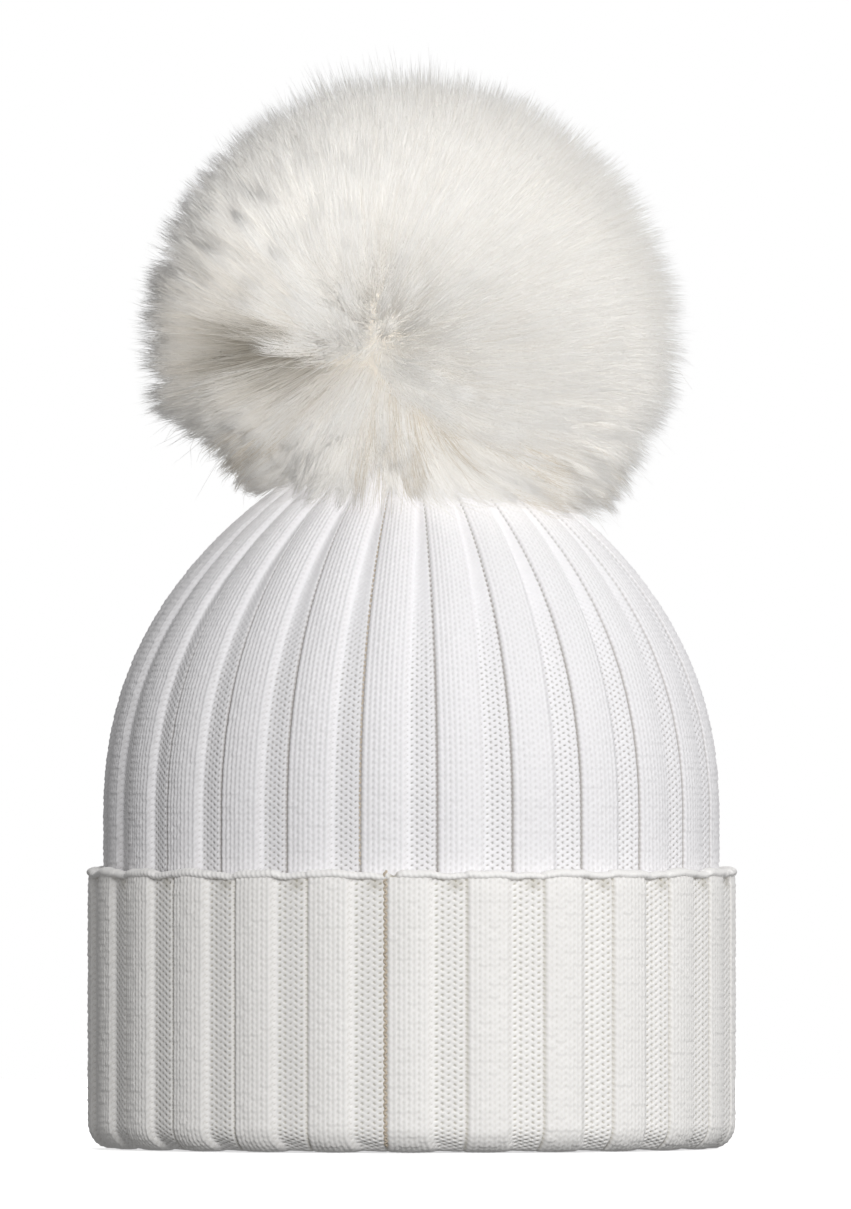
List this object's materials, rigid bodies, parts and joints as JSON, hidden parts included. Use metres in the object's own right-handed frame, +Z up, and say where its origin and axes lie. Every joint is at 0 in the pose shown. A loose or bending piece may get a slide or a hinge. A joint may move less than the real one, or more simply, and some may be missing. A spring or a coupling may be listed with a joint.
{
  "type": "pom pom beanie",
  "caption": "Rib-knit winter beanie with a deep turned-up cuff, gathered dome crown and a large fur pompom held on by a press stud.",
  "frame": {"origin": "centre of the flat ring under the cuff's fold, on the surface that the hat stands on", "axes": "+Z up along the hat's axis towards the pompom, -Y towards the back seam, +X to the right as seen from the back"},
  "size_m": [0.2008, 0.2008, 0.333],
  "materials": {
    "body_knit": "matte",
    "cuff_knit": "matte",
    "seam_yarn": "matte",
    "felt": "matte",
    "nickel": "satin",
    "spring_wire": "polished",
    "thread": "matte",
    "pelt_leather": "matte",
    "stuffing": "matte",
    "fur": "satin",
    "label_tape": "satin"
  },
  "bodies": {
    "hat": {"knit_body": "body_knit", "cuff": "cuff_knit", "cuff_rolled_edge": "cuff_knit", "back_seam_yarn": "seam_yarn", "cuff_seam_yarn": "seam_yarn", "crown_gather_yarn": "body_knit", "crown_backing_disc": "felt", "snap_socket": "nickel", "snap_socket_rivet": "nickel"},
    "care_label": {"care_label": "label_tape"},
    "snap_spring": {"snap_ring_spring": "spring_wire"},
    "pompom_base": {"snap_stud": "nickel", "snap_stud_rivet": "nickel", "pompom_base_disc": "felt", "pompom_shank_thread": "thread"},
    "pompom": {"pelt_gather_thread": "thread", "pompom_pelt": "pelt_leather", "pompom_stuffing": "stuffing", "pompom_fur": "fur"}
  },
  "joints": [
    {"name": "label_flip", "type": "hinge", "parent": "hat", "child": "care_label", "pos_m": [-0.01459, -0.08911, 0.065], "axis": [0, 0, 1], "range_deg": [0, 140]},
    {"name": "pompom_turn", "type": "hinge", "parent": "hat", "child": "snap_spring", "pos_m": [0, 0, 0.2204], "axis": [0, 0, 1], "continuous": true},
    {"name": "pompom_pull_off", "type": "slide", "parent": "snap_spring", "child": "pompom_base", "axis": [0, 0, 1], "range_m": [0, 0.05]},
    {"name": "pompom_lean", "type": "hinge", "parent": "pompom_base", "child": "pompom", "pos_m": [0, 0, 0.2281], "axis": [1, 0, 0], "range_deg": [-10, 10], "stiffness_Nm_per_rad": 0.3}
  ]
}
